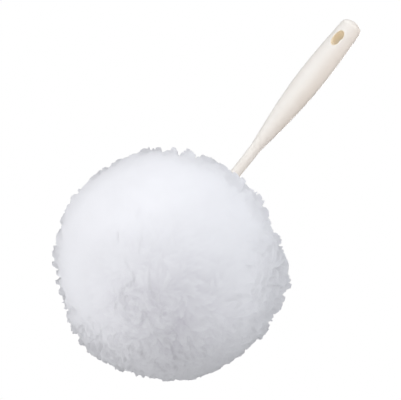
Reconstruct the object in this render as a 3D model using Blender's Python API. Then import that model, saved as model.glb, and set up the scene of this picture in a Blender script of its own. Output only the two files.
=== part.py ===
"""Hand duster: a ball of long soft fibre, gripped by a twisted wire, on a moulded handle.

The duster hangs by the oval hole near the end of its handle. The origin is the middle of that hole,
+Z runs up the handle and the hole runs along Y, so the ball hangs below. Lengths are in metres,
written as millimetres times MM.

The wire is one hairpin, twisted on itself. The fibre lies in bundles across it: each bundle is
gripped at its middle between the two strands and fans out on both sides, over a quarter of a turn
each. Two crossed bundles fill one band of the ball, and the bands are stacked along the wire.
"""

import math
import random

import bmesh
import bpy
from mathutils import Matrix, Vector

MM = 0.001
QUARTER_TURN = math.pi / 2
HALF_TURN = math.pi

# Clearances between pieces that touch on the real duster
SEAT_GAP = 0.3 * MM
BUNDLE_GAP = 0.4 * MM

# Handle, from the lower end of its neck to its domed end
NECK_RADIUS = 5.0 * MM
NECK_TOP_RADIUS = 5.7 * MM
GRIP_RADIUS = 13.5 * MM
END_RADIUS = 11.2 * MM
NECK_LENGTH = 83.0 * MM
SWELL_LENGTH = 94.0 * MM
TAPER_LENGTH = 58.0 * MM
END_DOME = 7.5 * MM
HANDLE_WALL = 2.6 * MM

# Oval hanging hole, which the origin is in the middle of
HOLE_WIDTH = 9.5 * MM
HOLE_LENGTH = 17.0 * MM
HOLE_FROM_END = 24.0 * MM
HOLE_BRIDGE = 8.0 * MM

# Twisted wire
WIRE_DIAMETER = 2.2 * MM
STRAND_GAP = 2.0 * MM
GRIPPED_LENGTH = 120.0 * MM
NECK_STANDOFF = 4.0 * MM
WIRE_TAIL = 60.0 * MM

# Fibre ball, and the locks that its outside is torn into
BALL_RADIUS = 115.5 * MM
SHOULDER_SWELL = 3.5 * MM
NECK_DIMPLE = 2.5 * MM
BALL_LEAN = 5.0 * MM
LOCK_DEPTH = 10.0 * MM
LOCK_CROWN = 3.5 * MM
LOCK_RAGGEDNESS = 2.5 * MM
LOCK_SPREAD = 1.6 * MM
LOCK_TOUSLE = 5.0 * MM
LOCK_WIDTH = 10.0 * MM
WAIST_HEIGHT = 1.6 * MM
SHOULDER_ANGLE = math.radians(70.0)
SHOULDER_SPAN = math.radians(35.0)
NECK_SPAN = math.radians(25.0)

# Counts
BANDS = 10
LOCK_ROWS = 2
FAN_COLUMNS = 8
STAGGER_COLUMNS = 2
HANDLE_SIDES = 32
WIRE_POINTS_PER_TURN = 10
JOINED_LOCKS = 0.3
LOCK_SEED = 7

# Heights on the handle, from the middle of the hanging hole
HANDLE_TOP = HOLE_FROM_END
NECK_END = HANDLE_TOP - END_DOME - TAPER_LENGTH - SWELL_LENGTH - NECK_LENGTH
NECK_TOP = NECK_END + NECK_LENGTH
GRIP_WIDEST = NECK_TOP + SWELL_LENGTH
DOME_START = GRIP_WIDEST + TAPER_LENGTH
CAVITY_TOP = -HOLE_LENGTH / 2 - HOLE_BRIDGE
BALL_CENTRE = NECK_END - NECK_STANDOFF - GRIPPED_LENGTH / 2

# Wire and bundles, with heights from the middle of the ball
STRAND_OFFSET = (WIRE_DIAMETER + STRAND_GAP) / 2
STEM_RADIUS = STRAND_OFFSET + WIRE_DIAMETER / 2
BORE_RADIUS = STEM_RADIUS + SEAT_GAP
WIRE_TIP = -GRIPPED_LENGTH / 2 - STEM_RADIUS
WAIST_HALF_WIDTH = STRAND_GAP / 2 - SEAT_GAP
BAND_PITCH = GRIPPED_LENGTH / BANDS
BAND_ANGLE = HALF_TURN / BANDS
COLUMN_ANGLE = QUARTER_TURN / FAN_COLUMNS
TWIST_RATE = (HALF_TURN + STAGGER_COLUMNS * COLUMN_ANGLE) / BAND_PITCH
WIRE_PITCH = 2 * HALF_TURN / TWIST_RATE

MERGE_DISTANCE = 0.001 * MM


def clear_scene():
    """Remove every object that the file opened with."""
    for item in list(bpy.data.objects):
        bpy.data.objects.remove(item, do_unlink=True)


def make_material(name, colour, roughness, metallic=0.0):
    """Return a Principled material of one plain colour."""
    material = bpy.data.materials.new(name)
    material.use_nodes = True
    shader = material.node_tree.nodes["Principled BSDF"]
    shader.inputs["Base Color"].default_value = (*colour, 1.0)
    shader.inputs["Roughness"].default_value = roughness
    shader.inputs["Metallic"].default_value = metallic
    return material


def ivory_plastic():
    """Cream moulded plastic of the handle."""
    return make_material("ivory_plastic", (0.86, 0.82, 0.74), 0.38)


def steel_wire():
    """Bright drawn steel of the core."""
    return make_material("steel_wire", (0.58, 0.58, 0.60), 0.35, 1.0)


def white_fibre():
    """Matt white fibre of the ball."""
    return make_material("white_fibre", (0.88, 0.88, 0.92), 0.95)


def add_mesh_object(name, bm, material):
    """Turn a bmesh into a named object in the scene."""
    mesh = bpy.data.meshes.new(name)
    bm.to_mesh(mesh)
    bm.free()
    mesh.materials.append(material)
    mesh.shade_smooth()
    mesh.set_sharp_from_angle(angle=math.radians(40.0))
    item = bpy.data.objects.new(name, mesh)
    bpy.context.scene.collection.objects.link(item)
    return item


def smoothstep(share):
    """Ease from 0 to 1, level at both ends."""
    share = min(1.0, max(0.0, share))
    return share * share * (3.0 - 2.0 * share)


def samples(first, last, count):
    """Return evenly spaced values from first to last, both included."""
    return [first + (last - first) * k / (count - 1) for k in range(count)]


def handle_radius(z):
    """Outer radius of the handle below its dome: neck, quarter-sine swell, quarter-cosine taper."""
    if z <= NECK_TOP:
        share = (z - NECK_END) / NECK_LENGTH
        return NECK_RADIUS + (NECK_TOP_RADIUS - NECK_RADIUS) * share
    if z <= GRIP_WIDEST:
        share = (z - NECK_TOP) / SWELL_LENGTH
        return NECK_TOP_RADIUS + (GRIP_RADIUS - NECK_TOP_RADIUS) * math.sin(QUARTER_TURN * share)
    share = (z - GRIP_WIDEST) / TAPER_LENGTH
    return END_RADIUS + (GRIP_RADIUS - END_RADIUS) * math.cos(QUARTER_TURN * share)


def cavity_radius(z):
    """Radius of the hollow in the handle, never narrower than the wire's bore."""
    return max(BORE_RADIUS, handle_radius(z) - HANDLE_WALL)


def handle_section():
    """Half section of the handle as (radius, z), from the top of its hollow round to its dome."""
    roof_radius = cavity_radius(CAVITY_TOP)
    roof = CAVITY_TOP - roof_radius / 2
    hollow = []
    for angle in samples(QUARTER_TURN, 0.0, 4)[:-1]:
        hollow.append((roof_radius * math.cos(angle), roof + (CAVITY_TOP - roof) * math.sin(angle)))
    hollow[0] = (0.0, CAVITY_TOP)
    hollow += [(cavity_radius(z), z) for z in samples(roof, NECK_TOP, 7)]
    hollow.append((BORE_RADIUS, NECK_END))
    outside = [(handle_radius(NECK_END), NECK_END)]
    outside += [(handle_radius(z), z) for z in samples(NECK_TOP, GRIP_WIDEST, 10)]
    outside += [(handle_radius(z), z) for z in samples(GRIP_WIDEST, DOME_START, 6)[1:]]
    for angle in samples(0.0, QUARTER_TURN, 6)[1:-1]:
        outside.append((END_RADIUS * math.cos(angle), DOME_START + END_DOME * math.sin(angle)))
    outside.append((0.0, HANDLE_TOP))
    return hollow + outside


def make_hole_cutter(material):
    """Oval bar along Y through the origin, which cuts the hanging hole."""
    bm = bmesh.new()
    bmesh.ops.create_cone(
        bm, cap_ends=True, segments=HANDLE_SIDES, radius1=0.5, radius2=0.5, depth=1.0
    )
    bmesh.ops.scale(bm, vec=(HOLE_WIDTH, HOLE_LENGTH, 4 * GRIP_RADIUS), verts=bm.verts)
    bmesh.ops.rotate(bm, matrix=Matrix.Rotation(QUARTER_TURN, 3, "X"), verts=bm.verts)
    cutter = add_mesh_object("hanging_hole_cutter", bm, material)
    cutter.hide_render = True
    cutter.display_type = "WIRE"
    return cutter


def make_handle():
    """Turn the handle's section about Z, then cut the hanging hole through its solid end."""
    material = ivory_plastic()
    bm = bmesh.new()
    corners = [bm.verts.new((radius, 0.0, z)) for radius, z in handle_section()]
    edges = [bm.edges.new(pair) for pair in zip(corners, corners[1:])]
    bmesh.ops.spin(
        bm,
        geom=corners + edges,
        cent=(0.0, 0.0, 0.0),
        axis=(0.0, 0.0, 1.0),
        angle=2 * HALF_TURN,
        steps=HANDLE_SIDES,
        use_merge=True,
    )
    bmesh.ops.remove_doubles(bm, verts=bm.verts, dist=MERGE_DISTANCE)
    bmesh.ops.recalc_face_normals(bm, faces=bm.faces)
    handle = add_mesh_object("handle", bm, material)
    cut = handle.modifiers.new("hanging_hole", "BOOLEAN")
    cut.operation = "DIFFERENCE"
    cut.solver = "EXACT"
    cut.object = make_hole_cutter(material)
    return handle


def wire_path():
    """Middle line of the hairpin: down one strand, round the folded tip and up the other strand.

    The radius changes sign in the fold, so one twist carries both strands."""
    low = -GRIPPED_LENGTH / 2
    high = GRIPPED_LENGTH / 2 + NECK_STANDOFF + WIRE_TAIL
    count = math.ceil((high - low) / WIRE_PITCH * WIRE_POINTS_PER_TURN) + 1
    strand = [(STRAND_OFFSET, z) for z in samples(high, low, count)]
    fold = []
    for angle in samples(0.0, HALF_TURN, 8)[1:-1]:
        fold.append((STRAND_OFFSET * math.cos(angle), low - STRAND_OFFSET * math.sin(angle)))
    returning = [(-radius, z) for radius, z in reversed(strand)]
    path = []
    for radius, z in strand + fold + returning:
        turn = TWIST_RATE * z
        path.append(Vector((radius * math.cos(turn), radius * math.sin(turn), z)))
    return path


def least_wire_gap(path):
    """Smallest distance between the surfaces of two lengths of the wire that aren't neighbours."""
    travelled = [0.0]
    for first, second in zip(path, path[1:]):
        travelled.append(travelled[-1] + (second - first).length)
    least = math.inf
    for a, start in enumerate(path):
        for b in range(a + 1, len(path)):
            if travelled[b] - travelled[a] > 4 * WIRE_DIAMETER:
                least = min(least, (path[b] - start).length - WIRE_DIAMETER)
    return least


def make_core_wire():
    """The twisted hairpin that grips the fibre, with its cut ends up the bore of the neck."""
    path = wire_path()
    curve = bpy.data.curves.new("core_wire", "CURVE")
    curve.dimensions = "3D"
    curve.bevel_depth = WIRE_DIAMETER / 2
    curve.bevel_resolution = 1
    curve.use_fill_caps = True
    spline = curve.splines.new("POLY")
    spline.points.add(len(path) - 1)
    for point, place in zip(spline.points, path):
        point.co = (*place, 1.0)
    curve.materials.append(steel_wire())
    wire = bpy.data.objects.new("core_wire", curve)
    wire.location = (0.0, 0.0, BALL_CENTRE)
    bpy.context.scene.collection.objects.link(wire)
    print(f"core_wire: least gap to itself {least_wire_gap(path) / MM:.2f} mm")
    return wire


def fluff_radius(polar):
    """Radius of the ball at an angle from the handle: full at the shoulder, shallow at the neck."""
    swell = SHOULDER_SWELL * math.exp(-(((polar - SHOULDER_ANGLE) / SHOULDER_SPAN) ** 2))
    dimple = NECK_DIMPLE * math.exp(-((polar / NECK_SPAN) ** 2))
    return BALL_RADIUS + swell - dimple


def groove_point(polar):
    """Point (radius, height) at the bottom of the grooves between locks."""
    reach = fluff_radius(polar) - LOCK_DEPTH
    return Vector((reach * math.sin(polar), reach * math.cos(polar)))


def band_wall(wall, side):
    """Inner and outer end of the cone between two bands, moved half a gap up or down (side 1 or -1)."""
    inner = Vector((BORE_RADIUS, GRIPPED_LENGTH / 2 - wall * BAND_PITCH))
    outer = groove_point(wall * BAND_ANGLE)
    along = (outer - inner).normalized()
    half_gap = side * BUNDLE_GAP / 2
    outer += half_gap * Vector((-along.y, along.x))
    inner.y += half_gap / along.x
    return inner, outer


def neck_wall():
    """Edge of the top band: under the neck's lower end, then up along the neck to the open air."""
    floor = NECK_END - BALL_CENTRE - BUNDLE_GAP
    neck = handle_radius(NECK_END) + BUNDLE_GAP
    reach = groove_point(0.0).y
    collar = handle_radius(BALL_CENTRE + reach) + BUNDLE_GAP
    top = math.sqrt(reach ** 2 - collar ** 2)
    return [Vector((BORE_RADIUS, floor)), Vector((neck, floor)), Vector((collar, top))]


def tip_wall():
    """Edge of the bottom band: from the pole up the axis, then round the folded tip of the wire."""
    roof = WIRE_TIP - SEAT_GAP
    return [Vector((0.0, groove_point(HALF_TURN).y)), Vector((0.0, roof)), Vector((BORE_RADIUS, roof))]


def bundle_profile(band, station):
    """Half section of one fan as (radius, height), with the stretch that its waist leaves from."""
    upper = neck_wall() if band == 0 else list(band_wall(band, -1))
    lower = tip_wall() if band == BANDS - 1 else list(reversed(band_wall(band + 1, 1)))
    rows = [groove_point((band + row / LOCK_ROWS) * BAND_ANGLE) for row in range(1, LOCK_ROWS)]
    waist = [Vector((BORE_RADIUS, station + side * WAIST_HEIGHT / 2)) for side in (-1, 1)]
    return upper + rows + lower + waist


def lock_columns(band):
    """How many columns of a fan make one lock, so that locks near the poles aren't slivers."""
    around = BALL_RADIUS * math.sin((band + 0.5) * BAND_ANGLE) * COLUMN_ANGLE
    columns = 1
    while columns < FAN_COLUMNS and columns * around < LOCK_WIDTH:
        columns *= 2
    return columns


def on_outside(face):
    """Whether a face lies on the outside of the ball, rather than on a side of its fan."""
    return min(corner.co.length for corner in face.verts) > BALL_RADIUS - 2 * LOCK_DEPTH


def outside_patches(bm, band, chance):
    """Group the faces on the outside of a fan into one patch for each lock, joining some at random."""
    columns = lock_columns(band)
    cells = {}
    for face in filter(on_outside, bm.faces):
        middle = face.calc_center_median()
        polar = math.acos(middle.z / middle.length)
        azimuth = math.atan2(middle.y, middle.x) + QUARTER_TURN / 2
        row = int((polar / BAND_ANGLE - band) * LOCK_ROWS)
        column = int(azimuth / COLUMN_ANGLE) // columns
        cells.setdefault((row, column), []).append(face)
    patches = []
    for row, column in sorted(cells):
        patch = cells.get((row, column))
        if patch is None:
            continue
        neighbour = chance.choice([(row, column + 1), (row + 1, column)])
        if neighbour in cells and chance.random() < JOINED_LOCKS:
            patch = patch + cells.pop(neighbour)
        patches.append(patch)
    return patches


def random_push(chance, reach):
    """A random step of at most reach along each axis."""
    return Vector([chance.uniform(-reach, reach) for _ in range(3)])


def tousle_grooves(bm, chance):
    """Move the groove corners that lie inside a fan's outside off their regular rows."""
    for corner in bm.verts:
        if all(on_outside(face) for face in corner.link_faces):
            reach = corner.co.length
            spread = min(LOCK_TOUSLE, corner.co.xy.length * COLUMN_ANGLE / 4)
            corner.co = (corner.co + random_push(chance, spread)).normalized() * reach


def raise_lock(bm, patch, chance):
    """Draw one patch out to the ball's outside, a little ragged in length and lean."""
    bmesh.ops.inset_region(bm, faces=patch, thickness=LOCK_SPREAD, use_even_offset=True)
    tips = {corner for face in patch for corner in face.verts}
    ragged = chance.uniform(-LOCK_RAGGEDNESS, LOCK_RAGGEDNESS)
    sway = random_push(chance, LOCK_SPREAD / 2)
    for corner in sorted(tips, key=lambda tip: tip.index):
        polar = math.acos(corner.co.z / corner.co.length)
        reach = fluff_radius(polar) - LOCK_CROWN + ragged
        corner.co = corner.co.normalized() * reach + sway
    bmesh.ops.poke(bm, faces=patch, offset=LOCK_CROWN)


def open_waist(bm, station):
    """Remove the faces where a fan's waist leaves it and set the waist's width between the strands."""
    slack = MERGE_DISTANCE
    opened = []
    for face in bm.faces:
        near = all(
            abs(corner.co.z - station) < WAIST_HEIGHT / 2 + slack
            and corner.co.xy.length < BORE_RADIUS + slack
            and abs(math.atan2(corner.co.y, corner.co.x)) < 1.5 * COLUMN_ANGLE
            for corner in face.verts
        )
        if near:
            opened.append(face)
    for corner in {corner for face in opened for corner in face.verts}:
        if abs(corner.co.y) > slack:
            corner.co.y = math.copysign(WAIST_HALF_WIDTH, corner.co.y)
    bmesh.ops.delete(bm, geom=opened, context="FACES")


def lean(bm, azimuth):
    """Push the ball's outside to one side of the wire, without moving what lies along the wire."""
    push = Vector((BALL_LEAN, 0.0, 0.0))
    push.rotate(Matrix.Rotation(-azimuth, 3, "Z"))
    still = NECK_TOP_RADIUS + BUNDLE_GAP
    for corner in bm.verts:
        share = (corner.co.xy.length - still) / (BALL_RADIUS / 2)
        corner.co += push * smoothstep(share)


def make_bundle(number, band, station, material):
    """One fibre bundle: two opposite fans, joined by a waist between the strands of the wire."""
    azimuth = TWIST_RATE * station + QUARTER_TURN
    bm = bmesh.new()
    start = Matrix.Rotation(-QUARTER_TURN / 2, 3, "Z")
    outline = [start @ Vector((radius, 0.0, z)) for radius, z in bundle_profile(band, station)]
    bm.faces.new([bm.verts.new(place) for place in outline])
    bmesh.ops.spin(
        bm,
        geom=bm.verts[:] + bm.edges[:] + bm.faces[:],
        cent=(0.0, 0.0, 0.0),
        axis=(0.0, 0.0, 1.0),
        angle=QUARTER_TURN,
        steps=FAN_COLUMNS,
    )
    bmesh.ops.remove_doubles(bm, verts=bm.verts, dist=MERGE_DISTANCE)
    bmesh.ops.recalc_face_normals(bm, faces=bm.faces)
    chance = random.Random(LOCK_SEED + number)
    patches = outside_patches(bm, band, chance)
    tousle_grooves(bm, chance)
    for patch in patches:
        raise_lock(bm, patch, chance)
    open_waist(bm, station)
    # Moved along its middle, a quarter fan clears the planes of both its sides alike
    away = Vector((BUNDLE_GAP / math.sqrt(2), 0.0, 0.0))
    bmesh.ops.translate(bm, vec=away, verts=bm.verts)
    fan = bm.verts[:] + bm.edges[:] + bm.faces[:]
    copy = bmesh.ops.duplicate(bm, geom=fan)["geom"]
    opposite = [item for item in copy if isinstance(item, bmesh.types.BMVert)]
    bmesh.ops.rotate(bm, matrix=Matrix.Rotation(HALF_TURN, 3, "Z"), verts=opposite)
    rims = [edge for edge in bm.edges if edge.is_boundary]
    bmesh.ops.bridge_loops(bm, edges=rims)
    lean(bm, azimuth)
    bmesh.ops.recalc_face_normals(bm, faces=bm.faces)
    bundle = add_mesh_object(f"fibre_bundle_{number:02d}", bm, material)
    bundle.location = (0.0, 0.0, BALL_CENTRE)
    bundle.rotation_euler = (0.0, 0.0, azimuth)
    return bundle


def make_fibre_ball():
    """Stack the bands down the wire, each with two bundles crossed a quarter turn apart."""
    material = white_fibre()
    bundles = []
    for band in range(BANDS):
        middle = GRIPPED_LENGTH / 2 - (band + 0.5) * BAND_PITCH
        for side in (1, -1):
            station = middle + side * WIRE_PITCH / 8
            bundles.append(make_bundle(len(bundles) + 1, band, station, material))
    return bundles


def build():
    """Build the whole duster."""
    clear_scene()
    make_handle()
    make_core_wire()
    make_fibre_ball()


build()
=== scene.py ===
"""Looks of the hand duster: a ball of torn white fluff on a moulded ivory handle.

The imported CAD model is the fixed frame. Its origin is the middle of the hanging hole, +Z runs up the
handle and the hole runs along Y. Lengths are in metres, written as millimetres times MM.

Each fibre bundle of the ball is dressed by one piece of fluff: fans that are pinched between the
strands of the wire. Their outside is torn into large tufts, the locks, and small ones, the wisps. The
tufts lie the way the fibre leans and make the ball's ragged outline.
"""

import logging
import math
import random
from dataclasses import dataclass, field
from enum import Enum
from typing import NamedTuple

import bmesh
import bpy
import numpy as np
from mathutils import Matrix, Vector, noise
from mathutils.bvhtree import BVHTree
from mathutils.kdtree import KDTree


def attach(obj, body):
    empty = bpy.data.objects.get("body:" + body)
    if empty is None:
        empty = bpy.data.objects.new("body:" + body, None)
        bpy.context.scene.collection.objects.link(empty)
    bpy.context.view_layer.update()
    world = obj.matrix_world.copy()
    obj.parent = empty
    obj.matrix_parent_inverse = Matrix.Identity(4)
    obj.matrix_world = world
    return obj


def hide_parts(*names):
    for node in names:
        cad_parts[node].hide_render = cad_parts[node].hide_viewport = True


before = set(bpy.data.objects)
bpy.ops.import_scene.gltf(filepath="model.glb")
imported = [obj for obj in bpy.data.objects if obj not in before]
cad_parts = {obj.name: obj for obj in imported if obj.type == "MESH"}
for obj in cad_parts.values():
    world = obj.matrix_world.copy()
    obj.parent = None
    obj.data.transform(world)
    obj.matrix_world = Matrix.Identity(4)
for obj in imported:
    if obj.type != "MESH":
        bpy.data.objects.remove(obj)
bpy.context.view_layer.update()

log = logging.getLogger("duster")

MM = 0.001
QUARTER_TURN = math.pi / 2
HALF_TURN = math.pi
FULL_TURN = 2 * math.pi
UP = Vector((0.0, 0.0, 1.0))
MERGE_DISTANCE = 0.001 * MM

Colour = tuple[float, float, float]
Direction = tuple[float, float, float]


class Slot(Enum):
    """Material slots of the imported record."""

    PLASTIC = "ivory_plastic"
    STEEL = "steel_wire"
    FIBRE = "white_fibre"


def clamp(value: float, least: float, most: float) -> float:
    """Value held between the least and the most."""
    return min(most, max(least, value))


def smoothstep(share: float) -> float:
    """Ease from 0 to 1, level at both ends."""
    share = clamp(share, 0.0, 1.0)
    return share * share * (3.0 - 2.0 * share)


def fade(apart: float, span: float) -> float:
    """Bell curve: 1 where two directions meet, near 0 where they are two spans apart."""
    return math.exp(-((apart / span) ** 2))


def mix(first: float, last: float, share: float) -> float:
    """Value at a share of the way from first to last."""
    return first + (last - first) * share


def samples(first: float, last: float, count: int) -> list[float]:
    """Evenly spaced values from first to last, both included."""
    return [mix(first, last, k / (count - 1)) for k in range(count)]


def random_push(chance: random.Random, reach: float) -> Vector:
    """A random step of at most reach along each axis."""
    return Vector([chance.uniform(-reach, reach) for _ in range(3)])


def report(piece: bpy.types.Object) -> None:
    """Log a finished piece's name and how many faces it has."""
    log.info("%s: %d faces", piece.name, len(piece.data.polygons))


def add_mesh_object(name: str, bm: bmesh.types.BMesh, material: bpy.types.Material) -> bpy.types.Object:
    """Turn a bmesh into a smooth named object at the origin.

    Args:
        name: The piece's name.
        bm: Its shape, which is freed.
        material: Its one finish.

    Returns:
        The new object, linked into the scene.
    """
    mesh = bpy.data.meshes.new(name)
    bm.to_mesh(mesh)
    bm.free()
    mesh.materials.append(material)
    mesh.shade_smooth()
    item = bpy.data.objects.new(name, mesh)
    bpy.context.scene.collection.objects.link(item)
    return item


class Graph:
    """The node tree of one material or world, with short calls for the steps that repeat."""

    def __init__(self, owner: bpy.types.Material | bpy.types.World) -> None:
        """Start from an empty tree.

        Args:
            owner: The material or world whose tree this is.
        """
        owner.use_nodes = True
        self.tree = owner.node_tree
        self.tree.nodes.clear()

    def add(self, kind: str, **settings: object) -> bpy.types.Node:
        """Add a node.

        Args:
            kind: The node's type, without its ShaderNode prefix.
            **settings: Attributes of the node to set.

        Returns:
            The new node.
        """
        node = self.tree.nodes.new(f"ShaderNode{kind}")
        for name, value in settings.items():
            setattr(node, name, value)
        return node

    def set(self, node: bpy.types.Node, **values: object) -> bpy.types.Node:
        """Set inputs of a node.

        Args:
            node: The node.
            **values: The inputs' values, each named by its label in lower case with underscores.

        Returns:
            The same node.
        """
        inputs = {socket.name.lower().replace(" ", "_"): socket for socket in node.inputs if socket.enabled}
        for name, value in values.items():
            inputs[name].default_value = value
        return node

    def link(self, source: bpy.types.NodeSocket, target: bpy.types.NodeSocket) -> None:
        """Join an output to an input."""
        self.tree.links.new(source, target)

    def noise(self, place: bpy.types.NodeSocket, scale: float, detail: float) -> bpy.types.NodeSocket:
        """Add a cloudy pattern.

        Args:
            place: Output that gives the coordinates.
            scale: How many clouds one unit of the coordinates holds.
            detail: How many finer layers it has.

        Returns:
            The pattern's value.
        """
        node = self.set(self.add("TexNoise"), scale=scale, detail=detail)
        self.link(place, node.inputs["Vector"])
        return node.outputs["Fac"]

    def spread(
        self,
        value: bpy.types.NodeSocket,
        start: float = 0.0,
        end: float = 1.0,
        first: float = 0.0,
        last: float = 1.0,
    ) -> bpy.types.NodeSocket:
        """Spread a value over a new range.

        Args:
            value: Output that gives the value.
            start: Value that becomes first.
            end: Value that becomes last.
            first: Result at start and before it.
            last: Result at end and past it.

        Returns:
            The result's output.
        """
        node = self.set(self.add("MapRange"), from_min=start, from_max=end, to_min=first, to_max=last)
        self.link(value, node.inputs["Value"])
        return node.outputs["Result"]

    def ramp(
        self,
        value: bpy.types.NodeSocket,
        first: Colour,
        last: Colour,
        start: float = 0.0,
        end: float = 1.0,
    ) -> bpy.types.NodeSocket:
        """Turn a value into a colour.

        Args:
            value: Output that gives the value.
            first: Colour at start and before it.
            last: Colour at end and past it.
            start: Value where the colours begin to mix.
            end: Value where they have mixed.

        Returns:
            The colour's output.
        """
        node = self.add("ValToRGB")
        for element, place, colour in zip(node.color_ramp.elements, (start, end), (first, last)):
            element.position = place
            element.color = (*colour, 1.0)
        self.link(value, node.inputs["Fac"])
        return node.outputs["Color"]

    def blend(
        self,
        share: bpy.types.NodeSocket,
        under: bpy.types.NodeSocket,
        over: Colour,
        blend_type: str = "MIX",
    ) -> bpy.types.NodeSocket:
        """Mix a fixed colour over one that varies.

        Args:
            share: Output that gives the share of the fixed colour.
            under: Output that gives the colour that varies.
            over: The fixed colour.
            blend_type: How the two mix.

        Returns:
            The mixed colour's output.
        """
        node = self.add("Mix", data_type="RGBA", blend_type=blend_type)
        sockets = {socket.identifier: socket for socket in [*node.inputs, *node.outputs]}
        self.link(share, sockets["Factor_Float"])
        self.link(under, sockets["A_Color"])
        sockets["B_Color"].default_value = (*over, 1.0)
        return sockets["Result_Color"]

    def vector(
        self,
        operation: str,
        first: bpy.types.NodeSocket,
        second: Vector | None = None,
    ) -> bpy.types.Node:
        """Add a step of vector arithmetic.

        Args:
            operation: What it does.
            first: Output that gives the first vector.
            second: The second vector, where the step has one.

        Returns:
            The new node.
        """
        node = self.add("VectorMath", operation=operation)
        self.link(first, node.inputs[0])
        if second is not None:
            node.inputs[1].default_value = second
        return node

    def bump(self, height: bpy.types.NodeSocket, strength: float, depth: float) -> bpy.types.NodeSocket:
        """Add fine relief to the surface.

        Args:
            height: Output that gives the relief's height, from 0 to 1.
            strength: How much of the relief shows.
            depth: Its depth in metres.

        Returns:
            The relief's normal.
        """
        node = self.set(self.add("Bump"), strength=strength, distance=depth)
        self.link(height, node.inputs["Height"])
        return node.outputs["Normal"]

    def surface(self, shade: bpy.types.NodeSocket, kind: str = "OutputMaterial") -> None:
        """Show a shader's result on the surface."""
        self.link(shade, self.add(kind).inputs["Surface"])


@dataclass(frozen=True)
class IvoryPlastic:
    """Cream satin plastic of the handle: warm, faintly mottled, with a fine moulded grain.

    The wall of the hanging hole is painted yellower as painted shade, for light that bounces inside it, and
    glows a little as a painted glow, for light that soaks through to it.
    The side of the handle that faces down and to the right in the camera's view is painted warmer and
    darker as painted shade.
    """

    light: Colour = (0.975, 0.940, 0.900)
    deep: Colour = (0.965, 0.925, 0.880)
    # Painted shade: the tint multiplied over the side of the handle that lies in shade, warmer and darker.
    painted_shade_tint: Colour = (0.965, 0.90, 0.85)
    painted_shade_start: float = -0.35
    painted_shade_end: float = 0.65
    # Painted shade and glow colour of the hole's wall, standing in for light bouncing and soaking through
    # inside the hole.
    bore_painted_shade_and_glow: Colour = (0.83, 0.74, 0.59)
    bore_edge: float = 1.02
    bore_end: float = 1.12
    glow: float = 0.15
    mottle_scale: float = 38.0
    mottle_detail: float = 3.0
    mottle_start: float = 0.35
    mottle_end: float = 0.62
    grain_scale: float = 900.0
    grain_detail: float = 4.0
    grain_depth: float = 0.05 * MM
    grain_strength: float = 0.35
    glossy: float = 0.40
    matt: float = 0.52
    shine: float = 0.45
    refraction: float = 1.49

    def material(self, painted_shade_side: Vector, hole_width: float, hole_length: float) -> bpy.types.Material:
        """Build the material.

        Args:
            painted_shade_side: Direction of the side that is painted warmer and darker as painted shade,
                divided by the grip's radius.
            hole_width: Width along X of the hanging hole, whose wall gets painted shade and a painted glow.
            hole_length: Its length along Z.

        Returns:
            The material.
        """
        material = bpy.data.materials.new("ivory_plastic_moulded")
        graph = Graph(material)
        place = graph.add("TexCoord").outputs["Object"]
        mottle = graph.noise(place, self.mottle_scale, self.mottle_detail)
        grain = graph.noise(place, self.grain_scale, self.grain_detail)
        body = graph.ramp(mottle, self.deep, self.light, self.mottle_start, self.mottle_end)
        # Painted shade: the handle grows warmer and darker towards the given side.
        side = graph.vector("DOT_PRODUCT", place, painted_shade_side).outputs["Value"]
        body = graph.blend(graph.spread(side, self.painted_shade_start, self.painted_shade_end), body, self.painted_shade_tint, "MULTIPLY")
        inside = self.painted_bore_share(graph, place, hole_width, hole_length)
        # Painted glow: the hole's wall emits a little of its painted colour, though it is no lamp.
        glow = graph.add("Math", operation="MULTIPLY")
        graph.link(inside, glow.inputs[0])
        glow.inputs[1].default_value = self.glow
        shader = graph.set(
            graph.add("BsdfPrincipled"),
            ior=self.refraction,
            specular_ior_level=self.shine,
            emission_color=(*self.bore_painted_shade_and_glow, 1.0),
        )
        graph.link(graph.blend(inside, body, self.bore_painted_shade_and_glow), shader.inputs["Base Color"])
        graph.link(glow.outputs["Value"], shader.inputs["Emission Strength"])
        graph.link(graph.spread(grain, first=self.glossy, last=self.matt), shader.inputs["Roughness"])
        graph.link(graph.bump(grain, self.grain_strength, self.grain_depth), shader.inputs["Normal"])
        graph.surface(shader.outputs["BSDF"])
        return material

    def painted_bore_share(
        self,
        graph: Graph,
        place: bpy.types.NodeSocket,
        hole_width: float,
        hole_length: float,
    ) -> bpy.types.NodeSocket:
        """Find how much a point belongs to the wall of the hanging hole, which gets the painted shade and
        glow.

        Args:
            graph: The material's nodes.
            place: Output that gives the point.
            hole_width: Width of the hole.
            hole_length: Its length.

        Returns:
            Output that is 1 on the wall of the hole and 0 on the handle's outside.
        """
        across = graph.add("Mapping")
        across.inputs["Scale"].default_value = (2 / hole_width, 0.0, 2 / hole_length)
        graph.link(place, across.inputs["Vector"])
        apart = graph.vector("LENGTH", across.outputs["Vector"]).outputs["Value"]
        return graph.spread(apart, self.bore_edge, self.bore_end, 1.0, 0.0)


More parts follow.
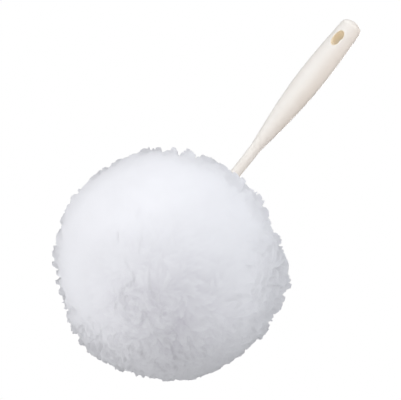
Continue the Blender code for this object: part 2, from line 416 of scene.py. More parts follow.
@dataclass(frozen=True)
class DrawnSteel:
    """Bright drawn steel of the core wire, with faint draw lines along it."""

    bright: Colour = (0.66, 0.66, 0.68)
    dull: Colour = (0.48, 0.48, 0.50)
    line_scale: float = 1400.0
    line_detail: float = 3.0
    line_stretch: float = 0.05
    smooth: float = 0.22
    rough: float = 0.42

    def material(self) -> bpy.types.Material:
        """Build the material.

        Returns:
            The material.
        """
        material = bpy.data.materials.new("steel_wire_drawn")
        graph = Graph(material)
        stretch = graph.add("Mapping")
        stretch.inputs["Scale"].default_value = (1.0, 1.0, self.line_stretch)
        graph.link(graph.add("TexCoord").outputs["Object"], stretch.inputs["Vector"])
        lines = graph.noise(stretch.outputs["Vector"], self.line_scale, self.line_detail)
        shader = graph.set(graph.add("BsdfPrincipled"), metallic=1.0)
        graph.link(graph.ramp(lines, self.dull, self.bright), shader.inputs["Base Color"])
        graph.link(graph.spread(lines, first=self.smooth, last=self.rough), shader.inputs["Roughness"])
        graph.surface(shader.outputs["BSDF"])
        return material


@dataclass(frozen=True)
class WhiteFibre:
    """Soft bluish white fibre, pale at the tufts' tips and deeper at their roots by painted shade, which
    stands in for the shade the fluff casts on itself.
    """

    tip: Colour = (0.934, 0.940, 0.985)
    # root is a painted shade colour, standing in for the shade between and under the tufts; tip is the
    # fibre's own colour.
    root: Colour = (0.735, 0.72, 0.79)
    cloud_scale: float = 24.0
    cloud_detail: float = 4.0
    cloud_start: float = 0.3
    cloud_end: float = 0.7
    cloud_least: float = 0.96
    hair_scale: float = 70.0
    hair_detail: float = 3.0
    hair_depth: float = 0.3 * MM
    hair_strength: float = 0.2
    roughness: float = 0.9
    shine: float = 0.05

    def material(self, middle: Vector) -> bpy.types.Material:
        """Build the material.

        Args:
            middle: Middle of the ball, from which the hairs lead outwards.

        Returns:
            The material.
        """
        material = bpy.data.materials.new("white_fibre_fluff")
        graph = Graph(material)
        place = graph.add("TexCoord").outputs["Object"]
        clouds = graph.noise(place, self.cloud_scale, self.cloud_detail)
        # The attribute read here ramps the colour from the painted shade of the root colour to the fibre's
        # own tip colour.
        reach = graph.add("Attribute", attribute_name=Fluff.PAINTED_LIGHT).outputs["Fac"]
        tint = graph.vector("SCALE", graph.ramp(reach, self.root, self.tip))
        cloud = graph.spread(clouds, self.cloud_start, self.cloud_end, self.cloud_least)
        graph.link(cloud, tint.inputs["Scale"])
        outwards = graph.vector("SUBTRACT", place, middle).outputs["Vector"]
        ray = graph.vector("NORMALIZE", outwards).outputs["Vector"]
        hairs = graph.noise(ray, self.hair_scale, self.hair_detail)
        shader = graph.set(
            graph.add("BsdfPrincipled"),
            roughness=self.roughness,
            specular_ior_level=self.shine,
        )
        graph.link(tint.outputs["Vector"], shader.inputs["Base Color"])
        graph.link(graph.bump(hairs, self.hair_strength, self.hair_depth), shader.inputs["Normal"])
        graph.surface(shader.outputs["BSDF"])
        return material


@dataclass
class Handle:
    """The ivory handle: a thin neck that swells into a round grip, with an oval hole near its end."""

    neck_radius: float = 5.0 * MM
    neck_top_radius: float = 5.7 * MM
    grip_radius: float = 13.5 * MM
    end_radius: float = 11.2 * MM
    neck_length: float = 83.0 * MM
    swell_length: float = 94.0 * MM
    taper_length: float = 58.0 * MM
    end_dome: float = 7.5 * MM
    wall: float = 2.6 * MM
    bore_radius: float = 3.5 * MM
    hole_width: float = 9.5 * MM
    hole_length: float = 17.0 * MM
    hole_from_end: float = 24.0 * MM
    hole_bridge: float = 8.0 * MM
    mouth_round: float = 0.7 * MM
    hole_round: float = 0.3 * MM
    cutter_overhang: float = 2.0 * MM
    sides: int = 96
    hole_sides: int = 64
    hole_round_steps: int = 6
    neck_steps: int = 8
    swell_steps: int = 36
    taper_steps: int = 24
    dome_steps: int = 14
    hollow_steps: int = 24
    roof_steps: int = 8
    sharp_angle: float = math.radians(35.0)
    finish: IvoryPlastic = field(default_factory=IvoryPlastic)

    def __post_init__(self) -> None:
        """Work out the heights on the handle, from the middle of its hanging hole."""
        self.top = self.hole_from_end
        self.dome_start = self.top - self.end_dome
        self.grip_widest = self.dome_start - self.taper_length
        self.neck_top = self.grip_widest - self.swell_length
        self.neck_end = self.neck_top - self.neck_length
        self.cavity_top = -self.hole_length / 2 - self.hole_bridge

    def radius(self, z: float) -> float:
        """Outer radius below the dome.

        Args:
            z: Height from the middle of the hanging hole.

        Returns:
            The neck's slow taper, the quarter-sine swell or the grip's quarter-cosine taper.
        """
        if z <= self.neck_top:
            share = (z - self.neck_end) / self.neck_length
            return mix(self.neck_radius, self.neck_top_radius, share)
        if z <= self.grip_widest:
            share = (z - self.neck_top) / self.swell_length
            return mix(self.neck_top_radius, self.grip_radius, math.sin(QUARTER_TURN * share))
        share = (z - self.grip_widest) / self.taper_length
        return mix(self.end_radius, self.grip_radius, math.cos(QUARTER_TURN * share))

    def cavity_radius(self, z: float) -> float:
        """Radius of the hollow, never narrower than the wire's bore."""
        return max(self.bore_radius, self.radius(z) - self.wall)

    def section(self) -> list[tuple[float, float]]:
        """Half section of the wall, which is spun into the handle.

        Returns:
            Points as (radius, z), from the top of the hollow round to the top of the dome.
        """
        roof_radius = self.cavity_radius(self.cavity_top)
        roof = self.cavity_top - roof_radius / 2
        hollow = [(0.0, self.cavity_top)]
        for angle in samples(QUARTER_TURN, 0.0, self.roof_steps)[1:-1]:
            arch = (self.cavity_top - roof) * math.sin(angle)
            hollow.append((roof_radius * math.cos(angle), roof + arch))
        hollow += [(self.cavity_radius(z), z) for z in samples(roof, self.neck_top, self.hollow_steps)]
        hollow.append((self.bore_radius, self.neck_end))
        mouth = self.mouth_round
        outside = [(self.neck_radius - mouth, self.neck_end), (self.neck_radius, self.neck_end + mouth)]
        neck = samples(self.neck_end, self.neck_top, self.neck_steps)[1:-1]
        swell = samples(self.neck_top, self.grip_widest, self.swell_steps)
        taper = samples(self.grip_widest, self.dome_start, self.taper_steps)[1:]
        outside += [(self.radius(z), z) for z in neck + swell + taper]
        for angle in samples(0.0, QUARTER_TURN, self.dome_steps)[1:-1]:
            dome = self.end_dome * math.sin(angle)
            outside.append((self.end_radius * math.cos(angle), self.dome_start + dome))
        outside.append((0.0, self.top))
        return hollow + outside

    def make_hole_cutter(self, material: bpy.types.Material) -> bpy.types.Object:
        """Oval bar along Y whose ends flare at the handle's surface, which rounds the hole's rims.

        Args:
            material: Finish that the cut faces take.

        Returns:
            The cutter, hidden from the render.
        """
        flares = samples(0.0, QUARTER_TURN, self.hole_round_steps)
        rings = [(-1, None)] + [(-1, angle) for angle in reversed(flares)]
        rings += [(1, angle) for angle in flares] + [(1, None)]
        bm = bmesh.new()
        bmesh.ops.create_circle(bm, segments=self.hole_sides, radius=0.5)
        bmesh.ops.rotate(bm, matrix=Matrix.Rotation(QUARTER_TURN, 3, "X"), verts=bm.verts)
        ends = bm.edges[:]
        loop = ends
        for _ in rings[1:]:
            grown = bmesh.ops.extrude_edge_only(bm, edges=loop)["geom"]
            loop = [item for item in grown if isinstance(item, bmesh.types.BMEdge) and item.is_boundary]
            corners = [item for item in grown if isinstance(item, bmesh.types.BMVert)]
            bmesh.ops.translate(bm, vec=(0.0, 1.0, 0.0), verts=corners)
        bmesh.ops.holes_fill(bm, edges=ends + loop, sides=0)
        for corner in bm.verts:
            side, angle = rings[round(corner.co.y)]
            flare = self.hole_round * (1.0 if angle is None else 1.0 - math.cos(angle))
            x = corner.co.x * (self.hole_width + 2 * flare)
            z = corner.co.z * (self.hole_length + 2 * flare)
            if angle is None:
                depth = self.grip_radius + self.cutter_overhang
            else:
                surface = math.sqrt(self.radius(z) ** 2 - x ** 2)
                depth = surface - self.hole_round * (1.0 - math.sin(angle))
            corner.co = (x, side * depth, z)
        bmesh.ops.recalc_face_normals(bm, faces=bm.faces)
        cutter = add_mesh_object("hanging_hole_cutter", bm, material)
        cutter.hide_render = True
        cutter.display_type = "WIRE"
        return cutter

    def pierce(self, handle: bpy.types.Object, cutter: bpy.types.Object) -> None:
        """Cut the hanging hole for good and remove the cutter.

        Args:
            handle: The spun handle.
            cutter: The bar that leaves the hole.
        """
        cut = handle.modifiers.new("hanging_hole", "BOOLEAN")
        cut.operation = "DIFFERENCE"
        cut.solver = "EXACT"
        cut.object = cutter
        evaluated = handle.evaluated_get(bpy.context.evaluated_depsgraph_get())
        pierced = bpy.data.meshes.new_from_object(evaluated)
        handle.modifiers.remove(cut)
        handle.data = pierced
        bpy.data.objects.remove(cutter, do_unlink=True)
        pierced.set_sharp_from_angle(angle=self.sharp_angle)

    def build(self, painted_shade_side: Vector) -> bpy.types.Object:
        """Spin the section about Z, cut the hanging hole and dress the result.

        Args:
            painted_shade_side: Direction of the side that is painted warmer and darker as painted shade.

        Returns:
            The finished handle, which stands for the CAD handle.
        """
        material = self.finish.material(painted_shade_side / self.grip_radius, self.hole_width, self.hole_length)
        bm = bmesh.new()
        corners = [bm.verts.new((radius, 0.0, z)) for radius, z in self.section()]
        edges = [bm.edges.new(pair) for pair in zip(corners, corners[1:])]
        bmesh.ops.spin(
            bm,
            geom=corners + edges,
            cent=(0.0, 0.0, 0.0),
            axis=(0.0, 0.0, 1.0),
            angle=FULL_TURN,
            steps=self.sides,
            use_merge=True,
        )
        bmesh.ops.remove_doubles(bm, verts=bm.verts, dist=MERGE_DISTANCE)
        bmesh.ops.recalc_face_normals(bm, faces=bm.faces)
        handle = add_mesh_object("moulded_handle", bm, material)
        self.pierce(handle, self.make_hole_cutter(material))
        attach(handle, "root")
        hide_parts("handle")
        return handle


@dataclass
class CoreWire:
    """The twisted steel wire, which keeps its CAD shape and gets a drawn finish."""

    finish: DrawnSteel = field(default_factory=DrawnSteel)

    def build(self) -> bpy.types.Object:
        """Dress the CAD wire.

        Returns:
            The CAD wire with its new finish.
        """
        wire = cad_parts["core_wire"]
        wire.data.materials.clear()
        wire.data.materials.append(self.finish.material())
        return wire


class Tuft(NamedTuple):
    """What a field of tufts gives at one direction.

    Attributes:
        height: Height over the middle height.
        step: Painted shade of the step between two tufts, from 0 on a tuft to 1 on the tallest step.
        depth: How deep the fibre lies, from 0 at the tip of the tallest tuft to 1 at the root of
            the lowest, which sets how much painted shade it gets.
    """

    height: float
    step: float
    depth: float


class TuftField:
    """Tufts of fibre scattered evenly over the ball, each with its own height."""

    JITTER = 0.38
    NEIGHBOURS = 15
    LEAST_HEIGHT = 0.35
    TIP_SHARE = 0.5

    def __init__(self, count: int, height: float, raised: float, stretch: float, seed: int) -> None:
        """Scatter the tufts.

        Args:
            count: How many tufts cover the ball.
            height: Greatest difference of a tuft's height from the middle height.
            raised: Share of the tufts that stand up; the others lie low.
            stretch: How many times longer a tuft is than it is wide.
            seed: Start of the random draws.
        """
        chance = random.Random(seed)
        spacing = math.sqrt(4 * math.pi / count)
        golden = HALF_TURN * (3 - math.sqrt(5))
        self.squeeze = 1.0 - 1.0 / stretch ** 2
        self.half_length = spacing * math.sqrt(stretch) / 2
        self.greatest = height
        self.heights = []
        self.tree = KDTree(count)
        for k in range(count):
            z = 1 - (2 * k + 1) / count
            ring = math.sqrt(1 - z * z)
            middle = Vector((ring * math.cos(golden * k), ring * math.sin(golden * k), z))
            middle = (middle + random_push(chance, self.JITTER * spacing)).normalized()
            level = chance.uniform(self.LEAST_HEIGHT, 1.0) * height
            self.heights.append(level if chance.random() < raised else -level)
            self.tree.insert(middle, k)
        self.tree.balance()

    def read(self, direction: Vector, flow: Vector, edge: float, seam: float) -> Tuft:
        """Find the fibre at a direction, level on each tuft and steep where two tufts meet.

        Args:
            direction: Where on the unit ball.
            flow: Direction in which the tufts are longer.
            edge: Half the width of the step from one tuft to the next, on the unit ball.
            seam: How far the shade of the step reaches over the tufts, on the unit ball.

        Returns:
            The fibre's height, step and depth.
        """
        around = []
        for middle, number, apart in self.tree.find_n(direction, self.NEIGHBOURS):
            along = (direction - middle).dot(flow)
            around.append((math.sqrt(apart * apart - self.squeeze * along * along), number, along))
        (near, first, run), (far, second, other_run) = sorted(around)[:2]
        inside = (far - near) / 2
        own, other = self.heights[first], self.heights[second]
        height = mix(other, own, 0.5 + 0.5 * smoothstep(inside / edge))
        step = (1.0 - smoothstep(inside / seam)) * abs(own - other) / (2 * self.greatest)
        own_share = 0.5 + 0.5 * smoothstep(inside / seam)
        level = mix(self.level(other, other_run), self.level(own, run), own_share)
        return Tuft(height, step, 0.5 - 0.5 * level)

    def level(self, height: float, along: float) -> float:
        """How high fibre lies, from -1 to 1, for its tuft's height and its place along the tuft."""
        # The level sets the painted shade: low fibre and the upstream ends of tufts are painted darker,
        # their tips paler.
        return mix(height / self.greatest, clamp(along / self.half_length, -1.0, 1.0), self.TIP_SHARE)


@dataclass(frozen=True)
class Lamp:
    """One soft lamp: where it hangs seen from the camera, its power in watts and its tint."""

    name: str
    right: float
    up: float
    towards: float
    energy: float
    tint: Colour = (1.0, 1.0, 1.0)


@dataclass
class Studio:
    """Camera, lights, white surroundings and floor."""

    turn: float = math.radians(21.5)
    roll: float = math.radians(38.37)
    distance: float = 2.0
    sensor: float = 36.0
    view_width: float = 401 * MM
    hole_right: float = 139.6 * MM
    hole_up: float = 158.7 * MM
    clip_start: float = 0.1
    clip_end: float = 40.0
    lamp_distance: float = 1.6
    lamp_size: float = 0.8
    lamps: tuple[Lamp, ...] = (
        Lamp("key_light", -0.78, 0.45, 0.42, 9.3),
        Lamp("right_light", 0.78, 0.45, 0.42, 12.4, (0.97, 0.985, 1.0)),
        Lamp("top_light", 0.0, 0.97, -0.24, 5.8),
        Lamp("upper_light", -0.15, 0.60, 0.80, 3.5),
        Lamp("front_light", 0.0, 0.0, 1.0, 7.2),
        Lamp("left_light", -0.95, -0.05, 0.30, 5.0),
        Lamp("low_right_light", 0.95, -0.30, 0.0, 3.2, (0.97, 0.985, 1.0)),
        Lamp("low_light", 0.0, -1.0, 0.1, 7.2),
        Lamp("back_light", 0.30, 0.10, -0.95, 13.0),
    )
    surround_strength: float = 0.04
    floor_height: float = -1.7
    floor_radius: float = 6.0
    floor_sides: int = 96
    floor_shade: float = 0.55
    floor_glow: float = 0.95

    def __post_init__(self) -> None:
        """Work out the camera's axes in the duster's frame."""
        self.forward = Vector((-math.sin(self.turn), math.cos(self.turn), 0.0))
        self.level = Vector((math.cos(self.turn), math.sin(self.turn), 0.0))
        self.right = self.level * math.cos(self.roll) + UP * math.sin(self.roll)
        self.up = UP * math.cos(self.roll) - self.level * math.sin(self.roll)
        self.target = -self.hole_right * self.right - self.hole_up * self.up

    def direction(self, right: float, up: float, towards: float) -> Vector:
        """A unit vector given by its parts seen from the camera."""
        return (right * self.right + up * self.up - towards * self.forward).normalized()

    def build_camera(self) -> bpy.types.Object:
        """Set up the camera at the photograph's angle.

        Returns:
            The camera.
        """
        lens = bpy.data.cameras.new("camera")
        lens.sensor_width = self.sensor
        lens.lens = self.sensor * self.distance / self.view_width
        lens.clip_start = self.clip_start
        lens.clip_end = self.clip_end
        camera = bpy.data.objects.new("camera", lens)
        axes = Matrix((self.right, self.up, -self.forward)).transposed()
        place = self.target - self.distance * self.forward
        camera.matrix_world = Matrix.Translation(place) @ axes.to_4x4()
        bpy.context.scene.collection.objects.link(camera)
        bpy.context.scene.camera = camera
        return camera

    def add_light(self, lamp: Lamp, subject: Vector) -> bpy.types.Object:
        """Add a soft square light.

        Args:
            lamp: The lamp's place and power.
            subject: The point that it faces.

        Returns:
            The new light, which the camera doesn't see.
        """
        source = bpy.data.lights.new(lamp.name, "AREA")
        source.shape = "SQUARE"
        source.size = self.lamp_size
        source.energy = lamp.energy
        source.color = lamp.tint
        light = bpy.data.objects.new(lamp.name, source)
        light.visible_camera = False
        offset = self.direction(lamp.right, lamp.up, lamp.towards) * self.lamp_distance
        light.location = subject + offset
        light.rotation_mode = "QUATERNION"
        light.rotation_quaternion = offset.to_track_quat("Z", "Y")
        bpy.context.scene.collection.objects.link(light)
        return light

    def build_world(self) -> bpy.types.World:
        """Set up white surroundings that light the duster less strongly than they look.

        Returns:
            The surroundings.
        """
        world = bpy.data.worlds.new("white_studio")
        graph = Graph(world)
        seen = graph.add("LightPath").outputs["Is Camera Ray"]
        surround = graph.set(graph.add("Background"), color=(1.0, 1.0, 1.0, 1.0))
        graph.link(graph.spread(seen, first=self.surround_strength), surround.inputs["Strength"])
        graph.surface(surround.outputs["Background"], "OutputWorld")
        bpy.context.scene.world = world
        return world

    def build_floor(self) -> bpy.types.Object:
        """Lay a pale floor under the hanging duster, nearly as white as the surroundings.

        Returns:
            The floor.
        """
        material = bpy.data.materials.new("pale_floor")
        graph = Graph(material)
        shade = self.floor_shade
        paper = graph.set(graph.add("BsdfDiffuse"), color=(shade, shade, shade, 1.0))
        glow = graph.set(graph.add("Emission"), color=(1.0, 1.0, 1.0, 1.0), strength=self.floor_glow)
        both = graph.add("AddShader")
        graph.link(paper.outputs["BSDF"], both.inputs[0])
        graph.link(glow.outputs["Emission"], both.inputs[1])
        choice = graph.add("MixShader")
        graph.link(graph.add("LightPath").outputs["Is Camera Ray"], choice.inputs["Fac"])
        graph.link(paper.outputs["BSDF"], choice.inputs[1])
        graph.link(both.outputs["Shader"], choice.inputs[2])
        graph.surface(choice.outputs["Shader"])
        bm = bmesh.new()
        bmesh.ops.create_circle(bm, cap_ends=True, segments=self.floor_sides, radius=self.floor_radius)
        bmesh.ops.translate(bm, vec=UP * self.floor_height, verts=bm.verts)
        floor = add_mesh_object("floor", bm, material)
        return floor

    def build(self, subject: Vector) -> None:
        """Set up the whole studio.

        Args:
            subject: Middle of the fibre ball, which the lights face.
        """
        bpy.context.scene.view_settings.view_transform = "Standard"
        self.build_camera()
        self.build_world()
        self.build_floor()
        for lamp in self.lamps:
            self.add_light(lamp, subject)


@dataclass
class Fluff:
    """The ball of fibre: its outline, its tufts and its twenty bundles."""

    # Name of the attribute that holds each point's painted shade, as a share of light.
    PAINTED_LIGHT = "reach"
    SOFTNESS = "softness"

    handle: Handle
    studio: Studio
    gripped_length: float = 120.0 * MM
    neck_standoff: float = 4.0 * MM
    radius: float = 115.5 * MM
    shoulder_swell: float = 3.5 * MM
    shoulder_angle: float = math.radians(70.0)
    shoulder_span: float = math.radians(35.0)
    neck_clear: float = 0.6 * MM
    neck_dimple: float = 2.5 * MM
    neck_span: float = math.radians(25.0)
    ball_lean: float = 5.0 * MM
    bulge_span: float = math.radians(12.0)
    bulges: tuple[tuple[float, float], ...] = (
        (3.0, 6.4 * MM),
        (38.0, -0.6 * MM),
        (65.0, 2.2 * MM),
        (82.0, 1.4 * MM),
        (107.0, -0.1 * MM),
        (132.0, 2.8 * MM),
        (158.0, -8.3 * MM),
        (184.0, -1.8 * MM),
        (205.0, 1.2 * MM),
        (230.0, -2.2 * MM),
        (275.0, 1.9 * MM),
        (315.0, 1.8 * MM),
        (342.0, -3.1 * MM),
    )
    bands: int = 10
    band_offset: float = 0.22
    bundle_gap: float = 0.4 * MM
    trim: float = 3.0 * MM
    skirt: float = 8.0 * MM
    waist_reach: float = 10.5 * MM
    waist_draw: float = 0.06
    detail: int = 8
    corner_jitter: float = 0.4
    mound_scale: float = 28.0 * MM
    mound_height: float = 1.6 * MM
    lock_count: int = 900
    lock_height: float = 3.5 * MM
    lock_raised: float = 0.35
    lock_edge: float = 0.5 * MM
    lock_seam: float = 2.4 * MM
    lock_shade: float = 0.18
    lock_tear: float = 2.8 * MM
    lock_stretch: float = 3.5
    wisp_count: int = 5000
    wisp_height: float = 2.6 * MM
    wisp_raised: float = 0.5
    wisp_edge: float = 0.35 * MM
    wisp_seam: float = 0.7 * MM
    wisp_shade: float = 1.1
    wisp_blur: float = 2.0
    wisp_tear: float = 1.4 * MM
    wisp_stretch: float = 3.2
    calm_side: Direction = (-0.25, 0.30, 0.92)
    calm_inner: float = math.radians(45.0)
    calm_outer: float = math.radians(74.0)
    calm_relief: float = 0.2
    smooth_side: Direction = (0.25, -0.94, 0.22)
    smooth_span: float = math.radians(36.0)
    smooth_relief: float = 0.25
    tousled_side: Direction = (0.0, -0.44, 0.90)
    tousled_span: float = math.radians(31.0)
    tousled_relief: float = 0.4
    back_inner: float = math.radians(140.0)
    back_outer: float = math.radians(100.0)
    back_relief: float = 0.5
    back_tousled: float = 0.45
    crown_side: Direction = (-0.15, -0.17, 0.97)
    crown_span: float = math.radians(60.0)
    tear_scale: float = 5.5 * MM
    flow_scale: float = 24.0 * MM
    flow_sway: float = 0.8
    patch_scale: float = 26.0 * MM
    patch_level: float = 0.6
    patch_share: float = 0.4
    calm_softness: float = 0.993
    tousled_softness: float = 0.93
    seed: int = 12
    finish: WhiteFibre = field(default_factory=WhiteFibre)

    def __post_init__(self) -> None:
        """Place the ball's middle and scatter its tufts."""
        noise.seed_set(self.seed)
        fibre_top = self.handle.neck_end - self.neck_standoff
        self.middle = Vector((0.0, 0.0, fibre_top - self.gripped_length / 2))
        self.calm_axis = self.studio.direction(*self.calm_side)
        self.smooth_axis = self.studio.direction(*self.smooth_side)
        self.tousled_axis = self.studio.direction(*self.tousled_side)
        self.crown = self.studio.direction(*self.crown_side)
        self.bulge_axes = []
        for turn, rise in self.bulges:
            angle = math.radians(turn)
            axis = self.studio.direction(math.cos(angle), -math.sin(angle), 0.0)
            self.bulge_axes.append((axis, rise))
        self.locks = TuftField(
            self.lock_count, self.lock_height, self.lock_raised, self.lock_stretch, self.seed
        )
        self.wisps = TuftField(
            self.wisp_count, self.wisp_height, self.wisp_raised, self.wisp_stretch, self.seed + 1
        )

    def outline(self, direction: Vector) -> float:
        """Radius of the ball: full at the shoulder, dimpled at the neck, with broad bulges.

        Args:
            direction: Unit vector from the middle of the ball.

        Returns:
            The mean distance of the tufts' tips.
        """
        polar = math.acos(clamp(direction.z, -1.0, 1.0))
        swell = self.shoulder_swell * fade(polar - self.shoulder_angle, self.shoulder_span)
        dimple = self.neck_dimple * fade(polar, self.neck_span)
        bulge = 0.0
        for axis, rise in self.bulge_axes:
            bulge += rise * fade(direction.angle(axis), self.bulge_span)
        return self.radius + swell - dimple + bulge

    def lean(self, place: Vector) -> Vector:
        """Push a point to the side as the ball leans, less the nearer it is to the wire.

        Args:
            place: The point, from the middle of the ball.

        Returns:
            Where it goes.
        """
        still = self.handle.neck_top_radius + self.bundle_gap
        share = (place.xy.length - still) / (self.radius / 2)
        return place + Vector((self.ball_lean * smoothstep(share), 0.0, 0.0))

    def owners(self, ball: bmesh.types.BMesh, bundles: list[str]) -> list[int]:
        """Find the CAD bundle that lies under each face of the ball.

        Args:
            ball: Finely divided sphere round the origin.
            bundles: Names of the CAD bundles.

        Returns:
            For each face, the number of its bundle in the list, or -1 where the neck passes.
        """
        places = []
        sides = []
        owner_of_side = []
        for number, name in enumerate(bundles):
            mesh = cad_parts[name].data
            start = len(places)
            places += [corner.co - self.middle for corner in mesh.vertices]
            sides += [[start + k for k in side.vertices] for side in mesh.polygons]
            owner_of_side += [number] * len(mesh.polygons)
        solids = BVHTree.FromPolygons(places, sides)
        clear = self.handle.neck_top_radius + self.neck_clear
        owners = []
        for face in ball.faces:
            spot = face.calc_center_median()
            if spot.z > 0.0 and spot.xy.length < clear:
                owners.append(-1)
                continue
            outside = self.lean(spot.normalized() * self.outline(spot.normalized()))
            owners.append(owner_of_side[solids.find_nearest(outside)[2]])
        return owners

    @staticmethod
    def extrude_rim(bm: bmesh.types.BMesh) -> list[bmesh.types.BMVert]:
        """Add a ring of faces at the open edges.

        Args:
            bm: A shape with open edges.

        Returns:
            The ring's new corners, which are still to be moved.
        """
        rim = [edge for edge in bm.edges if edge.is_boundary]
        grown = bmesh.ops.extrude_edge_only(bm, edges=rim)["geom"]
        return [item for item in grown if isinstance(item, bmesh.types.BMVert)]

    def close_to_waist(self, bm: bmesh.types.BMesh, waist: Vector) -> None:
        """Draw each fan's open edge in to the waist between the strands of the wire.

        Args:
            bm: The outside of one bundle, open all round its edge.
            waist: Point on the wire's axis where the bundle is gripped.
        """
        floor = self.handle.neck_end - self.middle.z - self.bundle_gap
        collar = self.handle.neck_radius + 2 * self.bundle_gap
        near_neck = 2 * self.handle.neck_top_radius
        for corner in self.extrude_rim(bm):
            corner.co -= corner.co.normalized() * self.skirt
        for corner in self.extrude_rim(bm):
            flat = Vector((corner.co.x, corner.co.y, 0.0))
            if corner.co.z > 0.0 and flat.length < near_neck:
                corner.co = flat.normalized() * collar + UP * floor
            else:
                corner.co = waist + (corner.co - waist).normalized() * self.waist_reach
        for corner in self.extrude_rim(bm):
            corner.co = waist + (corner.co - waist) * self.waist_draw
        bmesh.ops.collapse(bm, edges=[edge for edge in bm.edges if edge.is_boundary])

    def skin(self, out: Vector) -> tuple[Vector, float, float]:
        """Place a point of the ball's tufted outside.

        Args:
            out: Unit vector from the middle of the ball.

        Returns:
            The point, its share of light in the painted shade, from 0 where it is painted darkest to 1
            at the pale tips, and its softness.
        """
        tear = noise.noise_vector(out * self.radius / self.tear_scale) / self.radius
        flow = self.flow(out)
        relief = self.relief(out)
        tousled = self.tousled(out)
        blur = mix(1.0, self.wisp_blur, tousled) / self.radius
        lock = self.locks.read(
            out + tear * self.lock_tear, flow, self.lock_edge * blur, self.lock_seam / self.radius
        )
        wisp = self.wisps.read(
            out + tear * self.wisp_tear, flow, self.wisp_edge * blur, self.wisp_seam / self.radius
        )
        mound = noise.noise(out * self.radius / self.mound_scale) * self.mound_height
        height = (lock.height + wisp.height + mound) * relief
        place = out * (self.outline(out) - self.trim + height)
        # Painted shade: darker on the steps between locks and on low wisp fibre, paler at raised wisp tips,
        # in place of the fluff's own shadows.
        shade = lock.step * self.lock_shade * relief ** 2 * (1.0 - tousled)
        shade += wisp.depth * self.wisp_shade * tousled
        return place, max(0.0, 1.0 - shade), mix(self.calm_softness, self.tousled_softness, tousled)

    def flow(self, out: Vector) -> Vector:
        """Find which way the fibre leans.

        Args:
            out: Unit vector from the middle of the ball.

        Returns:
            A unit vector level with the ball's surface.
        """
        away = out.angle(self.crown)
        lean = (out - self.crown).normalized() * smoothstep(away / self.crown_span)
        lean += self.flow_sway * noise.noise_vector(out * self.radius / self.flow_scale)
        return (lean - lean.dot(out) * out).normalized()

    def tousled(self, out: Vector) -> float:
        """Find how tousled the fluff is.

        Args:
            out: Unit vector from the middle of the ball.

        Returns:
            From 0 to 1, highest in the patches of the tousled side.
        """
        patch = smoothstep(self.patch_level + noise.noise(out * self.radius / self.patch_scale))
        side = fade(out.angle(self.tousled_axis), self.tousled_span)
        return (side + self.back_tousled * self.back(out)) * mix(1.0, patch, self.patch_share)

    def back(self, out: Vector) -> float:
        """How far a direction lies on the side away from the calm side, from 0 to 1."""
        past = out.angle(self.calm_axis) - self.back_outer
        return smoothstep(past / (self.back_inner - self.back_outer))

    def calm(self, out: Vector) -> float:
        """How calm the fluff is at a direction, from 0 to 1 on its calm side."""
        within = self.calm_outer - out.angle(self.calm_axis)
        return smoothstep(within / (self.calm_outer - self.calm_inner))

    def relief(self, out: Vector) -> float:
        """Find how much of the full relief shows.

        Args:
            out: Unit vector from the middle of the ball.

        Returns:
            The share, less on the calm side and the smooth side.
        """
        smooth = fade(out.angle(self.smooth_axis), self.smooth_span)
        share = mix(1.0, self.calm_relief, self.calm(out)) * mix(1.0, self.smooth_relief, smooth)
        share = min(1.0, share + self.tousled_relief * self.tousled(out))
        return share * mix(1.0, self.back_relief, self.back(out))

    def soften(self, mesh: bpy.types.Mesh) -> None:
        """Turn the tufts' shading normals towards the ball's own, because light spreads in fluff.

        Args:
            mesh: The mesh of one bundle, in place.
        """
        places = np.empty(len(mesh.vertices) * 3, np.float32)
        mesh.vertices.foreach_get("co", places)
        own = np.empty(len(mesh.vertices) * 3, np.float32)
        mesh.vertex_normals.foreach_get("vector", own)
        out = places.reshape(-1, 3) - np.array(self.middle, np.float32)
        out /= np.linalg.norm(out, axis=1, keepdims=True)
        softness = np.empty(len(mesh.vertices), np.float32)
        layer = mesh.attributes[self.SOFTNESS]
        layer.data.foreach_get("value", softness)
        mesh.attributes.remove(layer)
        softness = softness[:, None]
        soft = (1.0 - softness) * own.reshape(-1, 3) + softness * out
        soft /= np.linalg.norm(soft, axis=1, keepdims=True)
        mesh.normals_split_custom_set_from_vertices(soft)

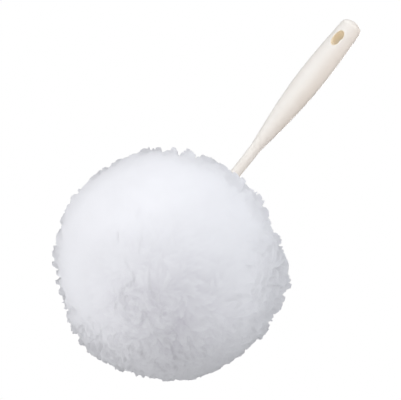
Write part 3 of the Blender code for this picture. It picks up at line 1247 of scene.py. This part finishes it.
    def build_bundle(
        self,
        number: int,
        ball: bmesh.types.BMesh,
        owners: list[int],
        material: bpy.types.Material,
    ) -> bpy.types.Object:
        """Make the fluff of one bundle.

        Args:
            number: The bundle's place down the wire, from 0.
            ball: Finely divided sphere round the origin.
            owners: The bundle of each of its faces.
            material: Finish of the fibre.

        Returns:
            The finished piece, which stands for the CAD bundle.
        """
        name = f"fibre_bundle_{number + 1:02d}"
        bm = ball.copy()
        spare = [face for face, owner in zip(bm.faces, owners) if owner != number]
        bmesh.ops.delete(bm, geom=spare, context="FACES")
        band = number // 2
        side = 1 if number % 2 == 0 else -1
        pitch = self.gripped_length / self.bands
        height = self.gripped_length / 2 - (band + 0.5) * pitch + side * pitch * self.band_offset
        waist = Vector((0.0, 0.0, height))
        self.close_to_waist(bm, waist)
        for corner in bm.verts:
            corner.co = self.lean(corner.co) + self.middle
        piece = add_mesh_object(f"fluff_{number + 1:02d}", bm, material)
        self.soften(piece.data)
        # The fluff casts no shadows and bounces no light; its shade is painted into its colour instead.
        piece.visible_shadow = False
        piece.visible_diffuse = False
        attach(piece, "root")
        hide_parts(name)
        return piece

    def build(self) -> list[bpy.types.Object]:
        """Make the fluff of every bundle.

        Returns:
            The twenty pieces, from the neck down.
        """
        material = self.finish.material(self.middle)
        bundles = sorted(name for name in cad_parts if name.startswith("fibre_bundle"))
        ball = bmesh.new()
        ball.verts.layers.float.new(self.PAINTED_LIGHT)
        ball.verts.layers.float.new(self.SOFTNESS)
        bmesh.ops.create_icosphere(ball, subdivisions=self.detail, radius=1.0)
        chance = random.Random(self.seed)
        reach = ball.verts.layers.float[self.PAINTED_LIGHT]
        softness = ball.verts.layers.float[self.SOFTNESS]
        jitter = self.corner_jitter / 2 ** self.detail
        for corner in ball.verts:
            out = (corner.co + random_push(chance, jitter)).normalized()
            corner.co, corner[reach], corner[softness] = self.skin(out)
        owners = self.owners(ball, bundles)
        pieces = []
        for number in range(len(bundles)):
            piece = self.build_bundle(number, ball, owners, material)
            report(piece)
            pieces.append(piece)
        ball.free()
        return pieces


def main() -> None:
    """Build the duster's pieces in order."""
    logging.basicConfig(level=logging.INFO, format="%(name)s: %(message)s")
    studio = Studio()
    handle = Handle()
    # The handle's painted shade falls on the side that faces down and to the right in the camera's view.
    report(handle.build(studio.level))
    report(CoreWire().build())
    fluff = Fluff(handle, studio)
    fluff.build()
    studio.build(fluff.middle)


if __name__ == "__main__":
    main()
